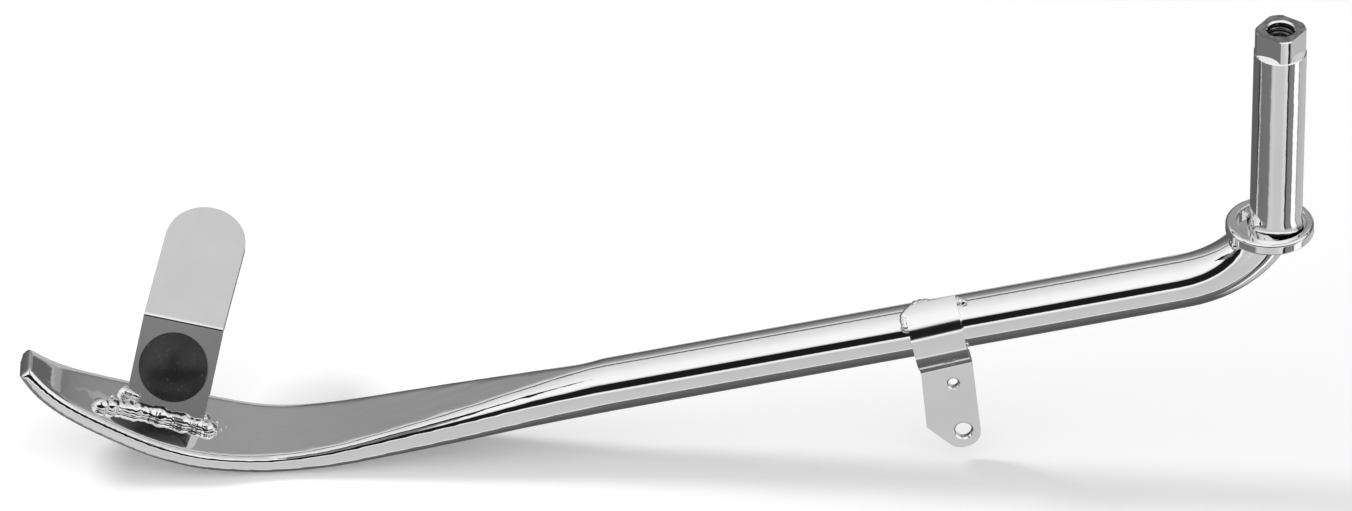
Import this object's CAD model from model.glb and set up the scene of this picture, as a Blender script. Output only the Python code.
"""Looks of the chrome side stand leg: materials, polished copies of CAD nodes, welds and studio."""
import math

import bpy
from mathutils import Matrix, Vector, noise as field
from mathutils.bvhtree import BVHTree


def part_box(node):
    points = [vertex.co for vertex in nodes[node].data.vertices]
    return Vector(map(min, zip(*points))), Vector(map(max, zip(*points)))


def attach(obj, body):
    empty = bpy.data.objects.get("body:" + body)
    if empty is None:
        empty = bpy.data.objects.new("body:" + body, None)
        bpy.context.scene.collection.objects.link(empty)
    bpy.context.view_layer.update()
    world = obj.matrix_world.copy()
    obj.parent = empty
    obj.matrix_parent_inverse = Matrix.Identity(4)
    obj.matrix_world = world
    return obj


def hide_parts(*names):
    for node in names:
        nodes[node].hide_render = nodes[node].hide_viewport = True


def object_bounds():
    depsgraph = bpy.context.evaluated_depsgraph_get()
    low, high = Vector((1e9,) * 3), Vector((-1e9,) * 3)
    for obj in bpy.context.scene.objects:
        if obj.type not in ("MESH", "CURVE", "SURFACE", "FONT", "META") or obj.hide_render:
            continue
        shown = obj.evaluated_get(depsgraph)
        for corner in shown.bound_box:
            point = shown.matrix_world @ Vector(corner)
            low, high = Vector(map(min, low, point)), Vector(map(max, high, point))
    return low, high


CAM_TARGET = Vector((-0.17586, -0.0061, -0.01226))
CAM_DISTANCE = 4.5
CAM_ELEVATION = math.radians(35.0)
CAM_LENS = 408.6
CAM_SENSOR = 36.0

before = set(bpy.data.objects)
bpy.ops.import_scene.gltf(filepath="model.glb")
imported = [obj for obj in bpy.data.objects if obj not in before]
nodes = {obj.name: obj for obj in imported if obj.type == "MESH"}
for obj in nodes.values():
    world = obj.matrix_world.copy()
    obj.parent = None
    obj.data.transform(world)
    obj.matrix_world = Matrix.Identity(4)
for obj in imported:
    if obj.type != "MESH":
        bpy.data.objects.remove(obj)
size_start = [list(v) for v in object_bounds()]


# ---------------------------------------------------------------- node helpers
def new_material(name):
    mat = bpy.data.materials.new(name)
    mat.use_nodes = True
    mat.node_tree.nodes.clear()
    return mat, mat.node_tree


def add(tree, kind, **values):
    node = tree.nodes.new(kind)
    for key, value in values.items():
        if hasattr(node, key):
            setattr(node, key, value)
        else:
            node.inputs[key.replace("_", " ")].default_value = value
    return node


def ramp(tree, source, stops, mode="LINEAR"):
    node = tree.nodes.new("ShaderNodeValToRGB")
    band = node.color_ramp
    band.interpolation = mode
    while len(band.elements) > 1:
        band.elements.remove(band.elements[-1])
    for i, (at, value) in enumerate(stops):
        colour = value if isinstance(value, tuple) else (value, value, value)
        spot = band.elements[0] if i == 0 else band.elements.new(at)
        spot.position = at
        spot.color = (*colour, 1.0)
    tree.links.new(source, node.inputs[0])
    return node.outputs["Color"]


def noise(tree, scale, detail=3.0, roughness=0.55, coords=None):
    node = tree.nodes.new("ShaderNodeTexNoise")
    node.inputs["Scale"].default_value = scale
    node.inputs["Detail"].default_value = detail
    node.inputs["Roughness"].default_value = roughness
    if coords is not None:
        tree.links.new(coords, node.inputs["Vector"])
    return node.outputs["Fac"]


def maths(tree, op, a, b=None, c=None, clamp=False):
    node = tree.nodes.new("ShaderNodeMath")
    node.operation = op
    node.use_clamp = clamp
    for slot, value in enumerate((a, b, c)):
        if value is None:
            continue
        if isinstance(value, (int, float)):
            node.inputs[slot].default_value = value
        else:
            tree.links.new(value, node.inputs[slot])
    return node.outputs[0]


def smooth(tree, value, low, high, out_low=0.0, out_high=1.0):
    node = tree.nodes.new("ShaderNodeMapRange")
    node.interpolation_type = "SMOOTHSTEP"
    tree.links.new(value, node.inputs["Value"])
    node.inputs["From Min"].default_value = low
    node.inputs["From Max"].default_value = high
    node.inputs["To Min"].default_value = out_low
    node.inputs["To Max"].default_value = out_high
    return node.outputs["Result"]


def mix(tree, factor, a, b):
    node = tree.nodes.new("ShaderNodeMix")
    node.data_type = "RGBA"
    for name, value in (("Factor", factor), ("A", a), ("B", b)):
        sock = [s for s in node.inputs if s.name == name and s.enabled][0]
        if isinstance(value, (int, float)) and name == "Factor":
            sock.default_value = value
        elif isinstance(value, (int, float)):
            sock.default_value = (value, value, value, 1.0)
        else:
            tree.links.new(value, sock)
    return [s for s in node.outputs if s.enabled][0]


# ---------------------------------------------------------------- studio
# brightness of the tent over the top, by degrees from the front horizon: 90 is straight up, 180 the back
OVERHEAD_BANDS = [
    (-180, 0.10), (-150, 0.16), (-100, 0.09), (-58, 0.15), (-54, 0.45), (-52, 1.10), (-49, 0.62),
    (-4, 0.58), (0, 0.95), (4, 1.05), (6, 0.012), (34, 0.012), (37, 0.80), (44, 1.05), (70, 1.0),
    (100, 0.82), (119, 0.74), (122, 0.60), (124.5, 0.06), (128, 0.06), (130, 0.60), (134, 0.80),
    (138, 0.60), (143, 0.34), (150, 0.30), (160, 0.20), (180, 0.10),
]
# brightness below the horizon, by degrees round from the front: 90 is toward +X
AROUND_BANDS = [
    (-180, 0.12), (-104, 0.12), (-100, 0.03), (-95, 0.02), (-92, 1.1), (-89, 1.1), (-87, 0.17),
    (-40, 0.19), (-34, 0.62), (-10, 0.70), (30, 0.72), (32, 0.95), (34, 0.02), (39, 0.02),
    (41, 0.20), (61, 0.24), (64, 0.05), (67, 1.1), (88, 1.1), (92, 0.20), (97, 0.50), (180, 0.57),
]


def degrees_stops(stops):
    """Angle stops from -180 to 180 degrees as ramp stops from 0 to 1."""
    return [((angle + 180.0) / 360.0, level) for angle, level in stops]


def build_world():
    """A soft white tent with dark flags, lit by direction only."""
    world = bpy.data.worlds.new("studio")
    bpy.context.scene.world = world
    world.use_nodes = True
    tree = world.node_tree
    tree.nodes.clear()
    coords = tree.nodes.new("ShaderNodeTexCoord").outputs["Generated"]
    parts = tree.nodes.new("ShaderNodeSeparateXYZ")
    tree.links.new(coords, parts.inputs[0])
    x, y, z = parts.outputs
    toward = maths(tree, "MULTIPLY", y, -1.0)
    lift = maths(tree, "DEGREES", maths(tree, "ARCTAN2", z, toward))
    turn = maths(tree, "DEGREES", maths(tree, "ARCTAN2", x, toward))
    lift01 = maths(tree, "MULTIPLY_ADD", lift, 1 / 360.0, 0.5)
    turn01 = maths(tree, "MULTIPLY_ADD", turn, 1 / 360.0, 0.5)
    over = ramp(tree, lift01, degrees_stops(OVERHEAD_BANDS))
    around = ramp(tree, turn01, degrees_stops(AROUND_BANDS))
    side = maths(tree, "ABSOLUTE", x)
    low = smooth(tree, z, -0.12, -0.34)
    away = smooth(tree, side, 0.20, 0.34)
    use_turn = maths(tree, "MULTIPLY", low, away)
    studio = mix(tree, use_turn, over, around)
    # the right half of the ceiling is a little dimmer
    dim = maths(tree, "MULTIPLY", smooth(tree, x, -0.02, 0.08), smooth(tree, z, 0.75, 0.92))
    studio = mix(tree, maths(tree, "MULTIPLY", dim, 0.35), studio, 0.25)
    # behind: a pale wall from a little left of the middle, a dark opening far right
    rear = smooth(tree, y, 0.70, 0.80)
    wall = maths(tree, "MULTIPLY", smooth(tree, x, -0.105, -0.06), smooth(tree, z, 0.30, 0.20))
    wall = maths(tree, "MULTIPLY", wall, smooth(tree, z, -0.55, -0.45))
    studio = mix(tree, maths(tree, "MULTIPLY", rear, wall), studio, 0.50)
    opening = maths(tree, "MULTIPLY", smooth(tree, y, 0.40, 0.50), smooth(tree, z, -0.20, -0.12))
    studio = mix(tree, maths(tree, "MULTIPLY", opening, smooth(tree, x, 0.545, 0.56)), studio, 0.13)
    edge = maths(tree, "MULTIPLY", smooth(tree, x, 0.505, 0.520), smooth(tree, x, 0.55, 0.535))
    studio = mix(tree, maths(tree, "MULTIPLY", opening, edge), studio, 0.34)
    light = tree.nodes.new("ShaderNodeBackground")
    tree.links.new(studio, light.inputs["Color"])
    light.inputs["Strength"].default_value = 1.0
    backdrop = tree.nodes.new("ShaderNodeBackground")
    backdrop.inputs["Color"].default_value = (0.93, 0.93, 0.93, 1.0)
    seen = tree.nodes.new("ShaderNodeLightPath").outputs["Is Camera Ray"]
    both = tree.nodes.new("ShaderNodeMixShader")
    tree.links.new(seen, both.inputs[0])
    tree.links.new(light.outputs[0], both.inputs[1])
    tree.links.new(backdrop.outputs[0], both.inputs[2])
    out = tree.nodes.new("ShaderNodeOutputWorld")
    tree.links.new(both.outputs[0], out.inputs[0])


def build_floor():
    low = size_start[0]
    bpy.ops.mesh.primitive_plane_add(size=6.0, location=(-0.18, 0.0, low[2] - 0.0004))
    floor = bpy.context.object
    floor.name = "floor"
    mat, tree = new_material("floor_paper")
    shader = add(tree, "ShaderNodeBsdfPrincipled", Base_Color=(0.86, 0.86, 0.86, 1.0), Roughness=0.9)
    shader.inputs["Specular IOR Level"].default_value = 0.1
    out = tree.nodes.new("ShaderNodeOutputMaterial")
    tree.links.new(shader.outputs[0], out.inputs[0])
    floor.data.materials.append(mat)
    shader.inputs["Emission Color"].default_value = (1.0, 1.0, 1.0, 1.0)
    shader.inputs["Emission Strength"].default_value = 0.20
    floor.visible_glossy = False


def area_light(name, place, aim, width, height, power):
    data = bpy.data.lights.new(name, "AREA")
    data.shape = "RECTANGLE"
    data.size = width
    data.size_y = height
    data.energy = power
    lamp = bpy.data.objects.new(name, data)
    bpy.context.scene.collection.objects.link(lamp)
    lamp.location = place
    lamp.rotation_euler = (Vector(aim) - Vector(place)).to_track_quat("-Z", "Y").to_euler()
    lamp.visible_glossy = False
    return lamp


def build_flag(name, centre, facing, width, height, levels):
    """A card that shows only in reflections: brightness goes from its lower to its upper edge."""
    back = Vector(facing).normalized()
    side = Vector((1.0, 0.0, 0.0))
    rise = back.cross(side).normalized()
    middle = Vector(centre)
    corners = [middle + side * width * u + rise * height * v
               for u, v in ((-0.5, -0.5), (0.5, -0.5), (0.5, 0.5), (-0.5, 0.5))]
    mesh = bpy.data.meshes.new(name)
    mesh.from_pydata(corners, [], [(0, 1, 2, 3)])
    layer = mesh.uv_layers.new(name="card")
    for loop, uv in zip(layer.data, ((0, 0), (1, 0), (1, 1), (0, 1))):
        loop.uv = uv
    flag = bpy.data.objects.new(name, mesh)
    bpy.context.scene.collection.objects.link(flag)
    mat, tree = new_material(name + "_card")
    spot = tree.nodes.new("ShaderNodeTexCoord").outputs["UV"]
    split = tree.nodes.new("ShaderNodeSeparateXYZ")
    tree.links.new(spot, split.inputs[0])
    tone = ramp(tree, split.outputs[1], levels)
    glow = tree.nodes.new("ShaderNodeEmission")
    tree.links.new(tone, glow.inputs["Color"])
    out = tree.nodes.new("ShaderNodeOutputMaterial")
    tree.links.new(glow.outputs[0], out.inputs[0])
    mesh.materials.append(mat)
    flag.visible_camera = False
    flag.visible_shadow = False
    flag.visible_diffuse = False


def build_camera():
    data = bpy.data.cameras.new("photo_camera")
    data.sensor_width = CAM_SENSOR
    data.lens = CAM_LENS
    data.clip_start = 0.05
    data.clip_end = 60.0
    cam = bpy.data.objects.new("photo_camera", data)
    bpy.context.scene.collection.objects.link(cam)
    back = Vector((0.0, -math.cos(CAM_ELEVATION), math.sin(CAM_ELEVATION)))
    cam.location = CAM_TARGET + back * CAM_DISTANCE
    cam.rotation_euler = (math.pi / 2 - CAM_ELEVATION, 0.0, 0.0)
    bpy.context.scene.camera = cam


# ---------------------------------------------------------------- materials
def chrome(name, tint, rough, wave_scale, wave_height, grain, pits=0.0, raw_above=None):
    """Bright plating: near-mirror with faint waviness, fine polishing grain and wear.

    Above the height raw_above it is left as cut: duller, darker and pitted."""
    mat, tree = new_material(name)
    coords = tree.nodes.new("ShaderNodeTexCoord").outputs["Object"]
    waves = noise(tree, wave_scale, 2.0, 0.5, coords)
    fine = noise(tree, 2600.0, 2.0, 0.6, coords)
    spots = noise(tree, 420.0, 3.0, 0.6, coords)
    haze = noise(tree, 55.0, 4.0, 0.6, coords)
    shader = tree.nodes.new("ShaderNodeBsdfPrincipled")
    shader.inputs["Metallic"].default_value = 1.0
    tone = ramp(tree, haze, [(0.3, tuple(t * 0.95 for t in tint)), (0.7, tint)])
    raw = 0.0
    if raw_above is not None:
        place = tree.nodes.new("ShaderNodeSeparateXYZ")
        tree.links.new(coords, place.inputs[0])
        raw = smooth(tree, place.outputs[2], raw_above, raw_above + 0.00012)
        dark_tint = tuple(t * 0.30 for t in tint)
        pale_tint = tuple(t * 0.62 for t in tint)
        cut = ramp(tree, spots, [(0.35, dark_tint), (0.65, pale_tint)])
        tone = mix(tree, raw, tone, cut)
    tree.links.new(tone, shader.inputs["Base Color"])
    base = maths(tree, "MULTIPLY_ADD", haze, rough * 0.9, rough * 0.55)
    flecks = smooth(tree, spots, 0.66, 0.76, 0.0, 0.12)
    if raw_above is not None:
        flecks = maths(tree, "ADD", flecks, maths(tree, "MULTIPLY", raw, 0.16))
    tree.links.new(maths(tree, "ADD", base, flecks), shader.inputs["Roughness"])
    height = maths(tree, "MULTIPLY", waves, wave_height)
    height = maths(tree, "ADD", height, maths(tree, "MULTIPLY", fine, grain))
    if pits:
        deep = smooth(tree, spots, 0.68, 0.78, 0.0, -pits)
        height = maths(tree, "ADD", height, deep)
    bump = tree.nodes.new("ShaderNodeBump")
    bump.inputs["Strength"].default_value = 1.0
    bump.inputs["Distance"].default_value = 1.0
    tree.links.new(height, bump.inputs["Height"])
    tree.links.new(bump.outputs[0], shader.inputs["Normal"])
    out = tree.nodes.new("ShaderNodeOutputMaterial")
    tree.links.new(shader.outputs[0], out.inputs[0])
    return mat


def rubber(name):
    mat, tree = new_material(name)
    coords = tree.nodes.new("ShaderNodeTexCoord").outputs["Object"]
    grain = noise(tree, 1500.0, 3.0, 0.6, coords)
    dust = noise(tree, 900.0, 2.0, 0.5, coords)
    shader = tree.nodes.new("ShaderNodeBsdfPrincipled")
    tone = ramp(tree, dust, [(0.0, 0.008), (0.66, 0.012), (0.74, 0.06), (0.82, 0.25)])
    tree.links.new(tone, shader.inputs["Base Color"])
    tree.links.new(smooth(tree, grain, 0.2, 0.8, 0.30, 0.42), shader.inputs["Roughness"])
    shader.inputs["Specular IOR Level"].default_value = 0.55
    bump = tree.nodes.new("ShaderNodeBump")
    bump.inputs["Distance"].default_value = 0.00006
    bump.inputs["Strength"].default_value = 0.6
    tree.links.new(grain, bump.inputs["Height"])
    tree.links.new(bump.outputs[0], shader.inputs["Normal"])
    out = tree.nodes.new("ShaderNodeOutputMaterial")
    tree.links.new(shader.outputs[0], out.inputs[0])
    return mat


# ---------------------------------------------------------------- detail pieces
def link_piece(name, mesh, material):
    piece = bpy.data.objects.new(name, mesh)
    bpy.context.scene.collection.objects.link(piece)
    mesh.materials.clear()
    mesh.materials.append(material)
    for face in mesh.polygons:
        face.use_smooth = True
    return piece


def softened(name, source, width, material):
    """A copy of a sheet part whose sharp edges are rounded a little, as polishing leaves them."""
    piece = link_piece(name, source.data.copy(), material)
    join = piece.modifiers.new("join", "WELD")
    join.merge_threshold = 0.000002
    soft = piece.modifiers.new("soft", "BEVEL")
    soft.width = width
    soft.segments = 3
    soft.limit_method = "ANGLE"
    soft.angle_limit = math.radians(40)
    flat = piece.modifiers.new("flat_faces", "WEIGHTED_NORMAL")
    flat.mode = "FACE_AREA"
    flat.weight = 100
    return piece


def polished(name, source, voxel, relax, material):
    """A copy of a forged part on a fine even mesh, eased so that its mirror finish has no facets."""
    piece = link_piece(name, source.data.copy(), material)
    fine = piece.modifiers.new("fine", "REMESH")
    fine.mode = "VOXEL"
    fine.voxel_size = voxel
    fine.use_smooth_shade = True
    ease = piece.modifiers.new("ease", "SMOOTH")
    ease.factor = 0.5
    ease.iterations = relax
    return piece


def melted(name, source, voxel, relax, grow, height, size, material):
    """A weld bead grown from a CAD bead: its ripples run together and its skin puckers."""
    rough = bpy.data.objects.new(name + "_rough", source.data.copy())
    bpy.context.scene.collection.objects.link(rough)
    merge = rough.modifiers.new("merge", "REMESH")
    merge.mode = "VOXEL"
    merge.voxel_size = voxel
    ease = rough.modifiers.new("ease", "SMOOTH")
    ease.factor = 0.6
    ease.iterations = relax
    graph = bpy.context.evaluated_depsgraph_get()
    mesh = bpy.data.meshes.new_from_object(rough.evaluated_get(graph))
    bpy.data.objects.remove(rough)
    mesh.name = name
    moves = []
    for v in mesh.vertices:
        p = v.co / size
        ripple = field.noise(p) + 0.5 * field.noise(p * 2.3 + Vector((7.1, 3.3, 1.7)))
        crease = 1.0 - 2.0 * abs(field.noise(p * 1.4 + Vector((2.0, 9.0, 4.0))))
        moves.append(v.normal * (grow + height * (0.6 * ripple + 0.5 * crease - 0.2)))
    for v, move in zip(mesh.vertices, moves):
        v.co += move
    mesh.update()
    return link_piece(name, mesh, material)


def ball(points, faces, centre, radius, flatten):
    """Adds a low rounded drop to a list of points and faces."""
    start = len(points)
    rings, around = 7, 12
    for i in range(rings + 1):
        tilt = math.pi * i / rings
        for j in range(around):
            turn = 2 * math.pi * j / around
            points.append(centre + Vector((
                radius * math.sin(tilt) * math.cos(turn),
                radius * math.sin(tilt) * math.sin(turn),
                radius * flatten * math.cos(tilt),
            )))
    for i in range(rings):
        for j in range(around):
            a = start + i * around + j
            b = start + i * around + (j + 1) % around
            faces.append((a, b, b + around, a + around))


def spatter(name, spots, tree, material):
    """Weld spatter: little drops that sit on the surface below each spot (x, y, radius)."""
    points, faces = [], []
    for x, y, radius in spots:
        hit = tree.ray_cast(Vector((x, y, 0.2)), Vector((0.0, 0.0, -1.0)))[0]
        ball(points, faces, hit + Vector((0, 0, radius * 0.35)), radius, 0.85)
    mesh = bpy.data.meshes.new(name)
    mesh.from_pydata(points, [], faces)
    mesh.update()
    return link_piece(name, mesh, material)


def thread(name, centre, bore, crest, pitch, low, high, material):
    """Helical thread ridge inside a tapped hole, its crest standing in from the bore wall."""
    steps = 40
    turns = (high - low - pitch) / pitch
    points, faces = [], []
    for i in range(int(turns * steps) + 1):
        turn = 2 * math.pi * i / steps
        rise = low + pitch * i / steps
        ease = min(1.0, i / steps, (turns * steps - i) / steps + 0.02)
        inner = bore - (bore - crest) * max(ease, 0.02)
        for radius, lift in ((bore, 0.0), (inner, pitch * 0.42), (inner, pitch * 0.52), (bore, pitch * 0.94)):
            points.append(centre + Vector((radius * math.cos(turn), radius * math.sin(turn), rise + lift)))
    for i in range(int(turns * steps)):
        for j in range(3):
            a = i * 4 + j
            faces.append((a, a + 4, a + 5, a + 1))
    mesh = bpy.data.meshes.new(name)
    mesh.from_pydata(points, [], faces)
    mesh.update()
    return link_piece(name, mesh, material)


def dress(node_name, material):
    mesh = nodes[node_name].data
    mesh.materials.clear()
    mesh.materials.append(material)


BRIGHT = (0.93, 0.93, 0.935)
THREAD_ROOT_R = 0.00396
THREAD_CREST_R = 0.00345
THREAD_PITCH = 0.0015875    # sixteen to the inch
THREAD_LOW = -0.0215        # both ends are measured from the top of the post
THREAD_HIGH = -0.0004
SHEET_EDGE_R = 0.00035      # polished edge of the tab and the bracket
LEG_VOXEL = 0.0006          # mesh size of the shown leg
LEG_RELAX = 10              # easing steps that take out the mesh's own steps
bar_chrome = chrome("bar_chrome", BRIGHT, 0.035, 60.0, 0.000012, 0.0000004)
post_chrome = chrome("post_chrome", BRIGHT, 0.05, 150.0, 0.00010, 0.0000014, 0.00003, 0.06382)
plate_chrome = chrome("plate_chrome", BRIGHT, 0.09, 90.0, 0.00001, 0.0000016)
thread_steel = chrome("thread_steel", (0.22, 0.22, 0.22), 0.22, 300.0, 0.00002, 0.0000020)
weld_chrome = chrome("weld_chrome", BRIGHT, 0.10, 250.0, 0.00003, 0.0000014)
black_rubber = rubber("black_rubber")

dress("pivot_post", post_chrome)
dress("pivot_flange", post_chrome)
dress("rubber_bumper", black_rubber)

for node_name in ("spring_bracket", "kick_tab"):
    sheet = softened(node_name + "_polished", nodes[node_name], SHEET_EDGE_R, plate_chrome)
    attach(sheet, "root")
    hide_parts(node_name)

WELDS = (
    # node, voxel, relax, grow, ripple height, ripple size
    ("tab_weld_front", 0.00026, 40, 0.00055, 0.00035, 0.0034),
    ("tab_weld_rear", 0.00028, 40, 0.0003, 0.00035, 0.0034),
    ("bracket_weld_left", 0.00014, 10, 0.00055, 0.00025, 0.0020),
    ("bracket_tack_right", 0.00012, 12, 0.0001, 0.0002, 0.0016),
    ("flange_weld", 0.00014, 10, 0.00025, 0.0003, 0.0020),
)
for node_name, voxel, relax, grow, height, size in WELDS:
    bead = melted(node_name + "_bead", nodes[node_name], voxel, relax, grow, height, size, weld_chrome)
    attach(bead, "root")
    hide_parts(node_name)

foot_tree = BVHTree.FromObject(nodes["leg_bar"], bpy.context.evaluated_depsgraph_get())
foot_spots = [
    (-0.3462, -0.0052, 0.0009), (-0.3470, -0.0033, 0.0006), (-0.3450, -0.0075, 0.0006),
    (-0.3480, -0.0060, 0.0004), (-0.3437, -0.0012, 0.0008), (-0.3425, 0.0012, 0.0007),
    (-0.3129, -0.0012, 0.0011), (-0.3118, 0.0008, 0.0007), (-0.3122, -0.0040, 0.0009),
    (-0.3105, -0.0022, 0.0005), (-0.3139, -0.0060, 0.0006), (-0.3090, -0.0005, 0.0003),
]
drops = spatter("tab_weld_spatter", foot_spots, foot_tree, weld_chrome)
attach(drops, "root")

leg = polished("leg_bar_polished", nodes["leg_bar"], LEG_VOXEL, LEG_RELAX, bar_chrome)
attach(leg, "root")
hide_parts("leg_bar")

post_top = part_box("pivot_post")[1]
ridge = thread("post_thread_ridge", Vector((0.0, 0.0, post_top.z)), THREAD_ROOT_R, THREAD_CREST_R,
               THREAD_PITCH, THREAD_LOW, THREAD_HIGH, thread_steel)
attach(ridge, "root")

build_world()
build_floor()
build_camera()
build_flag("tab_flag", (-0.348, -0.156, 0.143), (-0.093, -0.734, 0.673), 0.11, 0.175,
           [(0.0, 0.12), (0.43, 0.25), (0.50, 0.27), (0.60, 0.02), (1.0, 0.02)])
area_light("key", (-1.33, 0.55, 1.05), (-0.25, 0.0, -0.05), 0.40, 0.40, 14.0)

bpy.context.scene.view_settings.view_transform = "Standard"
bpy.context.scene.view_settings.look = "None"
